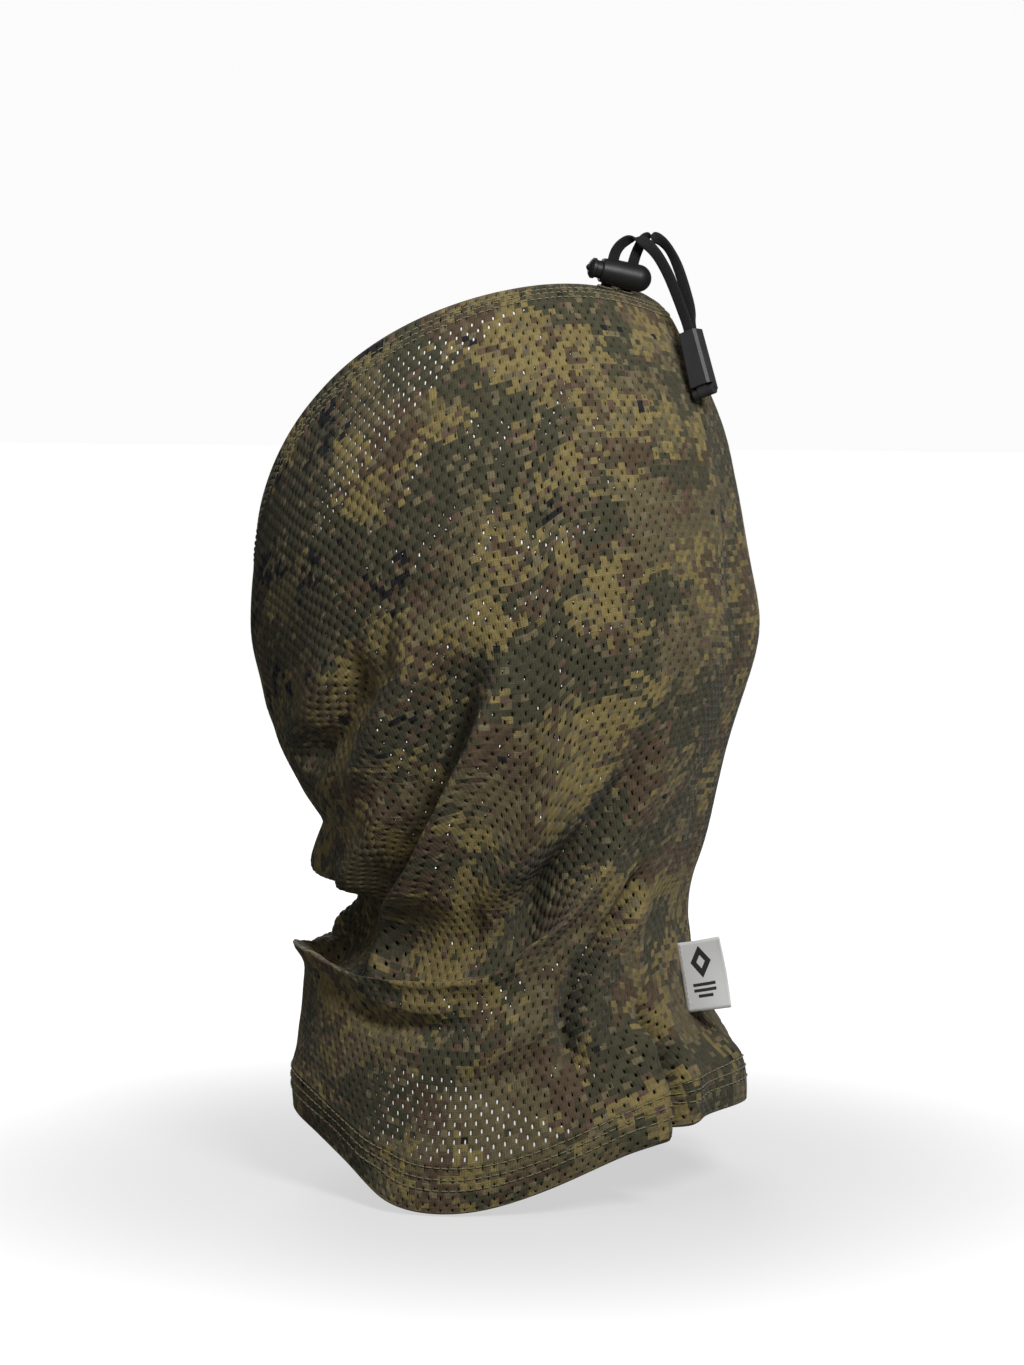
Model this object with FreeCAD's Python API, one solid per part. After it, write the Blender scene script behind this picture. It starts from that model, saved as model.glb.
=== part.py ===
import FreeCAD, Part
import os
from math import acos, cos, pi, radians, sin, tan

# Camouflage mesh face mask, as worn: a sewn tube with a drawcord round the upper opening.
# Millimetres. Origin at the centre of the wearer's head, +Z up, the face towards -X.

V = FreeCAD.Vector

# ---------------------------------------------------------------- driving dimensions
DEPTH = 226.0               # the worn mask over all, from the face to the back
BREADTH = 192.0             # from side to side
HEIGHT = 398.0              # from the crown down to the lowest edge of the hem

CLOTH = 1.2                 # mesh cloth, with its give
CASING_OUT = 2.0            # how far the casing stands out of the mesh surface
CASING_IN = 2.4             # and how far it reaches inwards
HEM_OUT = 0.6               # the hem's second layer
CORD_R = 1.4                # round section with the flat cord's cross-section
CORD_PLAY = 0.35            # between the cord and the walls of its tunnel
TUNNEL_AT = 0.30            # place of the drawcord across the casing, from the rim
THREAD = 0.35               # height of a sewn row above the cloth
ROW_HALF = 0.03             # half the width of a sewn row, as a share of the band
CASING_ROWS = (0.58, 0.75, 0.92)
HEM_ROWS = (11.05, 11.25, 11.45)

SEAM_W = 6.0                # overlocked seam allowance, inside the back
SEAM_T = 1.0
SEAM_GAP = 0.25
SEAM_U = -0.008             # the seam lies a little to the left of the middle of the back

LABEL_W = 20.0              # woven tab, folded once
LABEL_H = 31.0
LEAF_T = 0.35
LEAF_GAP = 0.25
LABEL_V = 9.47              # level of its middle
LABEL_LEAN = -10.0          # degrees

BARREL_R = 6.0              # cord lock
BARREL_MOUTH_R = 5.2
BARREL_MOUTH = -8.2
BARREL_DOME = 8.8           # where the rounded end starts
BORE_R = 4.0
BORE_END = 11.9
SHANK_PLAY = 0.15
WINDOW_L = 5.6              # passage of one strand, along the barrel
WINDOW_W = 2 * CORD_R + 0.6
WINDOW_WALL = 0.9
STRAND_AT = (-3.9, 5.1)     # places of the two strands along the barrel
PRESS = 2.0                 # travel of the plunger
BUTTON_R = 4.5
BUTTON_GAP = 0.4
BUTTON_L = 3.0
NUB_R = 1.5
LOCK_GAP = 0.8              # between the lock and the casing
WIRE_R = 0.2
SPRING_R = 2.8

HOLE_L = 5.6                # buttonholes
HOLE_W = 2 * CORD_R + 0.4
HOLE_RIM = 0.8
HOLE_T = 0.9
HOLE_PROUD = 0.3

CLIP_L = 27.3               # cord-end clip
CLIP_TOP_W = 9.0
CLIP_LOW_W = 10.6
CLIP_T = 7.6
CLIP_EDGE = 1.1
PARTING = 0.1               # half the gap between the clip's halves
KNUCKLE_R = 2.3
KNUCKLE_W = 4.8
EAR_GAP = 0.2
PIN_R = 0.9
PIN_PLAY = 0.06
POCKET_W = 6.0
POCKET_T = 4.6
POCKET_LOW = 5.0
POCKET_TOP = 22.0
ENTRY_W = 4 * CORD_R + 0.6
ENTRY_T = 2 * CORD_R + 0.6
PEG_R = 0.6
PEG_L = 1.2
PEG_AT = (CLIP_TOP_W + ENTRY_W) / 4 - 0.05
PEG_Z = 22.8
PEG_PLAY = 0.15
KNOT = (5.4, 4.0, 9.0)

# ---------------------------------------------------------------- the worn surface
# One row for each level, from the rim down: x at the face, x at the widest place, x at the back,
# half width, how much narrower it is at the back, and z from the face round to the back.
LEVELS = (
    (-108, -19, 70, 54.4, 0.68, (-6, 71, 106, 121, 114.5)),
    (-111, -17, 80, 64.0, 0.50, (-18, 57, 95, 113.5, 106.5)),
    (-113, -12, 97, 77.0, 0.28, (-33, 25, 67, 84.5, 74)),
    (-111, -5, 108, 84.0, 0.12, (-52, -8, 28, 41, 37)),
    (-104, 0, 112, 86.0, 0.03, (-72, -42, -14, -5, -5)),
    (-97, 2, 112, 84.0, 0.00, (-92, -73, -53, -44, -42)),
    (-89, 5, 101, 80.0, -0.03, (-107, -99, -91, -88, -88)),
    (-82, 8, 92, 75.0, -0.05, (-130, -128, -126, -126, -126)),
    (-76, 8, 86, 72.0, -0.05, (-151, -150, -150, -150, -150)),
    (-86, 4, 86, 80.0, -0.03, (-168, -170, -172, -172, -168)),
    (-90, 3, 92, 88.0, 0.00, (-200, -206, -212, -208, -198)),
    (-92, 2, 108, 94.0, 0.00, (-222, -237, -253, -243, -218)),
    (-90, 2, 110, 95.0, 0.00, (-240, -257, -274, -262, -237)),
)
DRAWN = (226.0, 192.0, 398.0)       # the depth, breadth and height at which the levels are written
QUARTERS = (-1.0, -0.5, 0.0, 0.5, 1.0)


def level(v):
    """The numbers of a level at a place v between two rows, on a smooth curve through the rows."""
    last = len(LEVELS) - 1
    v = min(max(v, 0.0), float(last))
    i = min(int(v), last - 1)
    t = v - i
    rows = [LEVELS[min(max(i + k, 0), last)] for k in (-1, 0, 1, 2)]
    rows = [row[:5] + row[5] for row in rows]
    weights = (
        -0.5 * t + t * t - 0.5 * t ** 3,
        1 - 2.5 * t * t + 1.5 * t ** 3,
        0.5 * t + 2 * t * t - 1.5 * t ** 3,
        -0.5 * t * t + 0.5 * t ** 3,
    )
    deep, broad, high = DEPTH / DRAWN[0], BREADTH / DRAWN[1], HEIGHT / DRAWN[2]
    shares = [deep] * 3 + [broad, 1.0] + [high] * 5
    return [share * sum(w * row[k] for w, row in zip(weights, rows))
            for k, share in enumerate(shares)]


def smooth_value(values, c):
    """The polynomial through the five values at QUARTERS."""
    total = 0.0
    for i, a in enumerate(QUARTERS):
        share = values[i]
        for j, b in enumerate(QUARTERS):
            if i != j:
                share *= (c - b) / (a - b)
        total += share
    return total


def bare(u, v):
    """A point of the mesh surface: u goes once round from the back, v down from the rim."""
    front, middle, back, half, taper, *heights = level(v)
    c, s = cos(2 * pi * u), sin(2 * pi * u)
    x = middle + (back - middle if c > 0 else middle - front) * c
    return V(x, half * s * (1 - taper * c), smooth_value(heights, c))


def across(u, v):
    """The outward direction of the mesh surface."""
    step = 0.004
    top = len(LEVELS) - 1 - step
    v = min(max(v, step), top)
    down = bare(u, v + step) - bare(u, v - step)
    along = bare(u + step, v) - bare(u - step, v)
    return down.cross(along).normalize()


def skin(u, v, out=0.0):
    """A point at a distance outside the mesh surface."""
    return bare(u, v) + across(u, v) * out


def ring(v, out, count=28):
    """A closed smooth wire round the mask."""
    curve = Part.BSplineCurve()
    curve.interpolate([skin(i / count, v, out) for i in range(count)], PeriodicFlag=True)
    return Part.Wire([curve.toShape()])


def band(v0, v1, inner, outer, steps):
    """A closed solid between two levels and two distances from the mesh surface."""
    places = [v0 + (v1 - v0) * i / steps for i in range(steps + 1)]
    faces = []
    for out in (inner, outer):
        faces += Part.makeLoft([ring(v, out) for v in places], False).Faces
    for v in (v0, v1):
        low, high = ring(v, inner), ring(v, outer)
        faces += Part.makeRuledSurface(low, high).Faces
    shell = Part.Shell(faces)
    shell.sewShape()
    return positive(Part.Solid(shell))


def positive(solid):
    """The same solid with its faces turned outwards."""
    if solid.Volume < 0:
        solid.reverse()
    return solid


# ---------------------------------------------------------------- frames and cords
def frame(origin, x_dir, z_dir):
    """A placement with its x and z axes along two directions."""
    z_axis = V(z_dir).normalize()
    x_axis = V(x_dir) - z_axis * x_dir.dot(z_axis)
    x_axis.normalize()
    return FreeCAD.Placement(origin, FreeCAD.Rotation(x_axis, z_axis.cross(x_axis), z_axis))


def cord(points, radius, name):
    """A round cord along straight runs joined by tangent arcs as large as the runs allow."""
    edges = []
    start = points[0]
    radii = []
    for a, b, c in zip(points, points[1:], points[2:]):
        go_in, go_out = b - a, c - b
        reach = 0.45 * min(go_in.Length, go_out.Length)
        go_in.normalize()
        go_out.normalize()
        turn = acos(min(1.0, go_in.dot(go_out)))
        bend = reach / tan(turn / 2)
        radii.append(bend)
        enter, leave = b - go_in * reach, b + go_out * reach
        heart = go_out - go_in
        heart.normalize()
        top = b + heart * (bend / cos(turn / 2) - bend)
        edges.append(Part.LineSegment(start, enter).toShape())
        edges.append(Part.Arc(enter, top, leave).toShape())
        start = leave
    edges.append(Part.LineSegment(start, points[-1]).toShape())
    path = Part.Wire(edges)
    circle = Part.Circle(points[0], points[1] - points[0], radius)
    tube = path.makePipeShell([Part.Wire([circle.toShape()])], True, False)
    share = tube.Volume / (pi * radius ** 2 * path.Length)
    print(name, "length", round(path.Length, 1), "volume share", round(share, 4),
          "radii", [round(r, 1) for r in radii])
    return positive(tube)


def obround(length, width, low, high):
    """An upright bar with round ends, along x, centred on z."""
    r = width / 2
    reach = length / 2 - r
    core = Part.makeBox(2 * reach, width, high - low, V(-reach, -r, low))
    ends = [Part.makeCylinder(r, high - low, V(side * reach, 0, low)) for side in (-1, 1)]
    return core.fuse(ends).removeSplitter()


def lathe(points):
    """A solid turned about the x axis from (x, radius) points."""
    outline = Part.makePolygon([V(x, r, 0) for x, r in points] + [V(points[0][0], points[0][1], 0)])
    return Part.Face(outline).revolve(V(0, 0, 0), V(1, 0, 0), 360)


def placed(shape, placement):
    """A copy of a shape, put where it belongs."""
    copy = shape.copy()
    copy.Placement = placement.multiply(copy.Placement)
    return copy


# ---------------------------------------------------------------- cloth
def along_rim():
    """The rim's direction and length for one hundredth of a turn on each side of the lock."""
    return skin(SEAT_U + 0.01, TUNNEL_AT) - skin(SEAT_U - 0.01, TUNNEL_AT)


def lock_seat():
    """Where the lock sits on the casing: a frame with x along the rim and z outwards."""
    return frame(skin(SEAT_U, TUNNEL_AT, CASING_OUT), along_rim(), across(SEAT_U, TUNNEL_AT))


SEAT_U = -0.089                        # place of the lock round the rim
SEAT = lock_seat()
TUNNEL_DEPTH = -(CASING_OUT + 0.2)     # the drawcord's centre below the seat
REACH = 0.6                            # how far each end of the drawcord runs under its strand
EXITS = [SEAT_U + at * 0.02 / along_rim().Length
         for at in (STRAND_AT[0] - REACH, STRAND_AT[1] + REACH)]


def drawcord_path():
    """Points of the drawcord from the back buttonhole right round to the front one."""
    count = 26
    first, last = EXITS[1], EXITS[0] + 1.0
    places = [first + (last - first) * i / count for i in range(count + 1)]
    return [skin(u, TUNNEL_AT, TUNNEL_DEPTH + CASING_OUT) for u in places]


def strand_seat(at):
    """The seat's frame moved along the rim to one strand."""
    return SEAT.multiply(FreeCAD.Placement(V(at, 0, 0), FreeCAD.Rotation()))


def top_casing():
    solid = band(0.0, 1.0, -CASING_IN, CASING_OUT, 4)
    solid = solid.cut(cord(drawcord_path(), CORD_R + CORD_PLAY, "tunnel"))
    for at in STRAND_AT:
        rim = obround(HOLE_L + 2 * HOLE_RIM, HOLE_W + 2 * HOLE_RIM, HOLE_PROUD - HOLE_T, 3)
        hole = obround(HOLE_L, HOLE_W, TUNNEL_DEPTH, 3)
        solid = solid.cut([placed(rim, strand_seat(at)), placed(hole, strand_seat(at))])
    return max(solid.Solids, key=lambda s: s.Volume)


def buttonhole(at):
    rim = obround(HOLE_L + 2 * HOLE_RIM, HOLE_W + 2 * HOLE_RIM, HOLE_PROUD - HOLE_T, HOLE_PROUD)
    return placed(rim.cut(obround(HOLE_L, HOLE_W, -3, 3)), strand_seat(at))


def back_seam():
    """A strip on the inside of the back, from the casing down to the hem."""
    out = -(CLOTH + SEAM_GAP + SEAM_T / 2)
    half = SEAM_W / 2
    steps = 22
    sections = []
    for i in range(steps + 1):
        v = 1.25 + (10.85 - 1.25) * i / steps
        middle = skin(SEAM_U, v, out)
        outward = across(SEAM_U, v)
        side = V(0, 1, 0) - outward * outward.y
        side.normalize()
        corners = [middle + side * (half * a) + outward * (SEAM_T / 2 * b)
                   for a, b in ((-1, -1), (1, -1), (1, 1), (-1, 1), (-1, -1))]
        sections.append(Part.makePolygon(corners))
    return positive(Part.makeLoft(sections, True, False))


def sewn_rows(places, out):
    rows = [band(v - ROW_HALF, v + ROW_HALF, out, out + THREAD, 1) for v in places]
    return Part.makeCompound(rows)


def label_frame():
    """The label stands out of the back seam: x outwards, z up."""
    lean = radians(LABEL_LEAN)
    return frame(skin(SEAM_U, LABEL_V, LEAF_GAP), V(1, 0, 0), V(sin(lean), 0, cos(lean)))


def label():
    """Two leaves and the fold that joins them."""
    wide = 2 * LEAF_T + LEAF_GAP
    outer = Part.makeBox(LABEL_W, wide, LABEL_H, V(0, -wide / 2, -LABEL_H / 2))
    gap = Part.makeBox(LABEL_W - LEAF_T, LEAF_GAP, LABEL_H, V(0, -LEAF_GAP / 2, -LABEL_H / 2))
    return placed(outer.cut(gap), label_frame())


def label_bartack():
    """A row of stitches through both leaves, close to the seam."""
    wide = 2 * LEAF_T + LEAF_GAP
    bars = []
    for side in (-1, 1):
        y = side * (wide / 2 + 0.2)
        bars.append(Part.makeBox(0.8, 0.4, LABEL_H - 3, V(1.2, y - 0.2, -(LABEL_H - 3) / 2)))
    return placed(Part.makeCompound(bars), label_frame())


# ---------------------------------------------------------------- cord lock
LOCK = SEAT.multiply(FreeCAD.Placement(V(0, 0, BARREL_R + LOCK_GAP), FreeCAD.Rotation()))
SHANK_R = BORE_R - SHANK_PLAY
SHANK_END = STRAND_AT[1] + WINDOW_L / 2 + WINDOW_WALL
BUTTON_BACK = BARREL_MOUTH - PRESS - BUTTON_GAP


def passages(extra):
    """The strands' ways across the lock, longer towards the mouth by the plunger's travel."""
    ways = []
    for at in STRAND_AT:
        way = obround(WINDOW_L + extra, WINDOW_W, -BARREL_R - 1, BARREL_R + 1)
        way.translate(V(at - extra / 2, 0, 0))
        ways.append(way)
    return ways


def lock_barrel():
    body = lathe([(BARREL_MOUTH, 0), (BARREL_MOUTH, BARREL_MOUTH_R - 0.4),
                  (BARREL_MOUTH + 0.4, BARREL_MOUTH_R), (-1, BARREL_R - 0.15),
                  (BARREL_DOME, BARREL_R), (BARREL_DOME, 0)])
    dome = Part.makeSphere(BARREL_R, V(BARREL_DOME, 0, 0), V(1, 0, 0))
    body = body.fuse(dome).removeSplitter()
    bore = Part.makeCylinder(BORE_R, BORE_END - BARREL_MOUTH + 1, V(BARREL_MOUTH - 1, 0, 0), V(1, 0, 0))
    return placed(body.cut([bore] + passages(0)), LOCK)


def lock_plunger():
    button_front = BUTTON_BACK - BUTTON_L
    shank = Part.makeCylinder(SHANK_R, SHANK_END - BUTTON_BACK, V(BUTTON_BACK, 0, 0), V(1, 0, 0))
    shank = shank.cut(passages(PRESS))
    button = lathe([(BUTTON_BACK, 0), (BUTTON_BACK, BUTTON_R - 0.4), (BUTTON_BACK - 0.4, BUTTON_R),
                    (BUTTON_BACK - 1.6, BUTTON_R), (button_front + 0.5, BUTTON_R - 1.1),
                    (button_front, BUTTON_R - 2.2), (button_front, 0)])
    nub = Part.makeSphere(NUB_R, V(button_front + 0.3, 0, 0))
    return placed(shank.fuse([button, nub]).removeSplitter(), LOCK)


def lock_spring():
    room = BORE_END - SHANK_END - 2 * WIRE_R - 0.1
    turns = 2.5
    helix = Part.makeHelix(room / turns, room, SPRING_R)
    circle = Part.Circle(V(SPRING_R, 0, 0), V(0, 1, 0), WIRE_R)
    coil = Part.Wire(helix.Edges).makePipeShell([Part.Wire([circle.toShape()])], True, True)
    turned = FreeCAD.Placement(V(SHANK_END + WIRE_R + 0.05, 0, 0), FreeCAD.Rotation(V(0, 1, 0), 90))
    return placed(positive(coil), LOCK.multiply(turned))


# ---------------------------------------------------------------- free strands and clip
CLIP_AT = (-0.038, 2.048)   # place on the cloth where the clip hangs
CLIP_OFF = 7.4              # and how far its hinge stands off the cloth there
CLIP_TURN = (-172.4, -3.04, 2.08)
STRAND_BESIDE = CORD_R + 0.05
ENTRY_RUN = 2.5             # straight run of a strand above the clip
STRAND_END_Z = POCKET_LOW + KNOT[2] + 2.6


def clip_frame():
    """The clip's frame: x along its hinge, z up towards the cord."""
    u, v = CLIP_AT
    up = bare(u, v - 0.05) - bare(u, v + 0.05)
    rest = frame(bare(u, v), across(u, v), up)
    return rest.multiply(FreeCAD.Placement(V(CLIP_OFF, 0, 0), FreeCAD.Rotation(*CLIP_TURN)))


CLIP = clip_frame()


def clip_point(x, y, z):
    return CLIP.multVec(V(x, y, z))


def strand_start(at):
    """From the drawcord straight up through the buttonhole and the lock."""
    seat = strand_seat(at)
    low = seat.multVec(V(0, 0, TUNNEL_DEPTH))
    high = seat.multVec(V(0, 0, 2 * BARREL_R + LOCK_GAP + 5.5))
    return [low, high]


# The strands' corners between the lock and the clip: a share of the straight way, and an offset.
FRONT_ROUTE = ((0.04, V(6.5, 1.2, 5.9)), (0.24, V(8.7, 1.0, 7.5)), (0.47, V(7.2, 1.3, 6.5)),
               (0.69, V(4.6, 2.1, 4.2)), (0.89, V(2.0, 1.6, 2.2)))
BACK_ROUTE = ((-0.10, V(5.4, 4.7, 4.1)), (0.07, V(8.5, 6.2, 6.8)), (0.31, V(8.0, 5.8, 6.3)),
              (0.59, V(5.4, 4.1, 4.2)), (0.87, V(2.4, 1.6, 1.7)))


def strand_path(at, route, side):
    """The corners of a strand from the drawcord to the knot."""
    start = strand_start(at)
    beside = side * STRAND_BESIDE
    entry = clip_point(beside, 0, CLIP_L + ENTRY_RUN)
    middle = [start[1] + (entry - start[1]) * share + offset for share, offset in route]
    return start + middle + [entry, clip_point(beside, 0, STRAND_END_Z)]


def clip_block(low_y, high_y, low_z):
    """A tapered block of the clip between two planes of its thickness."""
    def section(z, wide):
        half = wide / 2
        corners = [(-half, -CLIP_T / 2 + CLIP_EDGE), (-half + CLIP_EDGE, -CLIP_T / 2),
                   (half - CLIP_EDGE, -CLIP_T / 2), (half, -CLIP_T / 2 + CLIP_EDGE),
                   (half, CLIP_T / 2 - CLIP_EDGE), (half - CLIP_EDGE, CLIP_T / 2),
                   (-half + CLIP_EDGE, CLIP_T / 2), (-half, CLIP_T / 2 - CLIP_EDGE)]
        return Part.makePolygon([V(x, y, z) for x, y in corners + corners[:1]])

    hull = Part.makeLoft([section(low_z, CLIP_LOW_W), section(CLIP_L, CLIP_TOP_W)], True, True)
    slab = Part.makeBox(40, high_y - low_y, 60, V(-20, low_y, -20))
    return positive(hull).common(slab)


def clip_room():
    """The pocket for the knot and the way in for the strands."""
    pocket = Part.makeBox(POCKET_W, POCKET_T, POCKET_TOP - POCKET_LOW,
                          V(-POCKET_W / 2, -POCKET_T / 2, POCKET_LOW))
    way_in = Part.makeBox(ENTRY_W, ENTRY_T, CLIP_L - POCKET_TOP + 2,
                          V(-ENTRY_W / 2, -ENTRY_T / 2, POCKET_TOP - 1))
    return [pocket, way_in]


def along_x(radius, x0, x1):
    return Part.makeCylinder(radius, x1 - x0, V(x0, 0, 0), V(1, 0, 0))


def pegs(radius, length):
    return [Part.makeCylinder(radius, length + 0.5, V(side * PEG_AT, -length, PEG_Z), V(0, 1, 0))
            for side in (-1, 1)]


def clip_base():
    body = clip_block(-CLIP_T / 2, -PARTING, 0.0)
    ear_in = KNUCKLE_W / 2 + EAR_GAP
    ear_out = CLIP_LOW_W / 2 - 0.3
    body = body.cut(Part.makeBox(2 * ear_in, 20, KNUCKLE_R + 0.4 + 3, V(-ear_in, -10, -3)))
    ears = [along_x(KNUCKLE_R, ear_in, ear_out), along_x(KNUCKLE_R, -ear_out, -ear_in)]
    body = body.fuse(ears)
    body = body.cut(clip_room() + [along_x(PIN_R + PIN_PLAY, -ear_out - 1, ear_out + 1)])
    body = body.cut(pegs(PEG_R + PEG_PLAY, PEG_L + 0.3))
    return placed(body.removeSplitter(), CLIP)


def clip_lid():
    low = KNUCKLE_R + 0.35
    body = clip_block(PARTING, CLIP_T / 2, low)
    neck_w = KNUCKLE_W - 0.2
    neck = Part.makeBox(neck_w, KNUCKLE_R - PARTING, low + 0.6, V(-neck_w / 2, PARTING, 0))
    knuckle = along_x(KNUCKLE_R, -KNUCKLE_W / 2, KNUCKLE_W / 2)
    pin_reach = CLIP_LOW_W / 2 - 0.6
    body = body.fuse([neck, knuckle, along_x(PIN_R, -pin_reach, pin_reach)])
    body = body.cut(clip_room())
    body = body.fuse(pegs(PEG_R, PEG_L))
    return placed(body.removeSplitter(), CLIP)


def cord_knot():
    """The knot of the two cord ends, as a lump with rounded corners."""
    wide, deep, tall = KNOT
    lump = Part.makeBox(wide, deep, tall, V(-wide / 2, -deep / 2, POCKET_LOW + 2.6))
    return placed(lump.makeFillet(1.6, lump.Edges), CLIP)


# ---------------------------------------------------------------- nodes
def main():
    os.makedirs("parts", exist_ok=True)
    nodes = {
        "mesh_tube": band(1.0, 11.0, -CLOTH, 0.0, 20),
        "top_casing": top_casing(),
        "bottom_hem": band(11.0, 12.0, -CLOTH, HEM_OUT, 2),
        "back_seam": back_seam(),
        "casing_stitching": sewn_rows(CASING_ROWS, CASING_OUT),
        "hem_stitching": sewn_rows(HEM_ROWS, HEM_OUT),
        "label": label(),
        "label_bartack": label_bartack(),
        "buttonhole_front": buttonhole(STRAND_AT[0]),
        "buttonhole_back": buttonhole(STRAND_AT[1]),
        "drawcord": cord(drawcord_path(), CORD_R, "drawcord"),
        "cord_strand_front": cord(strand_path(STRAND_AT[0], FRONT_ROUTE, 1), CORD_R, "front strand"),
        "cord_strand_back": cord(strand_path(STRAND_AT[1], BACK_ROUTE, -1), CORD_R, "back strand"),
        "cord_knot": cord_knot(),
        "lock_barrel": lock_barrel(),
        "lock_plunger": lock_plunger(),
        "lock_spring": lock_spring(),
        "clip_base": clip_base(),
        "clip_lid": clip_lid(),
    }
    for name, shape in nodes.items():
        print(name, shape.isValid(), len(shape.Solids), round(shape.Volume, 1))
        shape.exportStep(f"parts/{name}.step")


if __name__ == "__main__":
    main()
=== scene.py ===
from math import cos, pi, radians, sin

import bpy
import numpy as np
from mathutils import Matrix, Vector


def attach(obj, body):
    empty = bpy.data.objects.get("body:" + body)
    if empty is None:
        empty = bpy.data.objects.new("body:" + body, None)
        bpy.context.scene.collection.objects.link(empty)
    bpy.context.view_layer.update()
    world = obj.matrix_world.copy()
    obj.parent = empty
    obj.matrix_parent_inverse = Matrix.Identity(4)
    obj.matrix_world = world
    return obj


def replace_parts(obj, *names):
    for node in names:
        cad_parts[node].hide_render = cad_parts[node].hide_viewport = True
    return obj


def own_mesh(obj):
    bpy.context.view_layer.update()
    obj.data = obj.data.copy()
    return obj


# Camouflage mesh face mask, as worn. The cloth is worked out in millimetres and made in metres.

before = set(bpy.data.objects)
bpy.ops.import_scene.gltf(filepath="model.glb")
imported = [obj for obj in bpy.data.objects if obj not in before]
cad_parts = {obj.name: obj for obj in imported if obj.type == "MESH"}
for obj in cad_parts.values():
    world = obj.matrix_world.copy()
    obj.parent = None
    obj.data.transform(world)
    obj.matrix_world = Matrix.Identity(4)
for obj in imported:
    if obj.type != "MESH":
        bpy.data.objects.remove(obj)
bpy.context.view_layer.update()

MM = 0.001
AZIMUTH, ELEVATION = radians(21.0), radians(5.0)
DISTANCE = 1.70
TARGET = Vector((0.005, 0.002, -0.054))
PICTURE_HIGH = 0.6115       # metres from the picture's top to its bottom, at the target

# ---------------------------------------------------------------- the worn surface
# The same levels as the CAD part: x at the face, at the widest place and at the back, half width,
# taper, and z from the face round to the back.
LEVELS = np.array([
    (-108, -19, 70, 54.4, 0.68, -6, 71, 106, 121, 114.5),
    (-111, -17, 80, 64.0, 0.50, -18, 57, 95, 113.5, 106.5),
    (-113, -12, 97, 77.0, 0.28, -33, 25, 67, 84.5, 74),
    (-111, -5, 108, 84.0, 0.12, -52, -8, 28, 41, 37),
    (-104, 0, 112, 86.0, 0.03, -72, -42, -14, -5, -5),
    (-97, 2, 112, 84.0, 0.00, -92, -73, -53, -44, -42),
    (-89, 5, 101, 80.0, -0.03, -107, -99, -91, -88, -88),
    (-82, 8, 92, 75.0, -0.05, -130, -128, -126, -126, -126),
    (-76, 8, 86, 72.0, -0.05, -151, -150, -150, -150, -150),
    (-86, 4, 86, 80.0, -0.03, -168, -170, -172, -172, -168),
    (-90, 3, 92, 88.0, 0.00, -200, -206, -212, -208, -198),
    (-92, 2, 108, 94.0, 0.00, -222, -237, -253, -243, -218),
    (-90, 2, 110, 95.0, 0.00, -240, -257, -274, -262, -237),
], float)
QUARTERS = (-1.0, -0.5, 0.0, 0.5, 1.0)
LAST = len(LEVELS) - 1
NUDGE = 0.004               # step round and down that a direction is measured over


def bare(u, v):
    """Points of the mesh surface: u goes once round from the back, v down from the rim."""
    u, v = np.broadcast_arrays(np.asarray(u, float), np.asarray(v, float))
    v = np.clip(v, 0, LAST)
    i = np.minimum(v.astype(int), LAST - 1)
    t = v - i
    weights = (-0.5 * t + t * t - 0.5 * t ** 3, 1 - 2.5 * t * t + 1.5 * t ** 3,
               0.5 * t + 2 * t * t - 1.5 * t ** 3, -0.5 * t * t + 0.5 * t ** 3)
    row = sum(w[..., None] * LEVELS[np.clip(i + k, 0, LAST)]
              for w, k in zip(weights, (-1, 0, 1, 2)))
    c, s = np.cos(2 * pi * u), np.sin(2 * pi * u)
    front, middle, back, half, taper = (row[..., k] for k in range(5))
    x = middle + np.where(c > 0, back - middle, middle - front) * c
    z = np.zeros_like(x)
    for a, qa in enumerate(QUARTERS):
        share = row[..., 5 + a]
        for b, qb in enumerate(QUARTERS):
            if a != b:
                share = share * (c - qb) / (qa - qb)
        z = z + share
    return np.stack([x, half * s * (1 - taper * c), z], -1)


def unit(a):
    """Directions made one long."""
    return a / np.maximum(np.linalg.norm(a, axis=-1, keepdims=True), 1e-9)


def across(u, v, surface=bare):
    """Outward directions of a surface."""
    v = np.clip(v, NUDGE, LAST - NUDGE)
    down = surface(u, v + NUDGE) - surface(u, v - NUDGE)
    along = surface(u + NUDGE, v) - surface(u - NUDGE, v)
    return unit(np.cross(down, along))


def smooth(x, low, high):
    """From 0 at low to 1 at high, level at both ends."""
    t = np.clip((x - low) / (high - low), 0, 1)
    return t * t * (3 - 2 * t)


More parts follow.
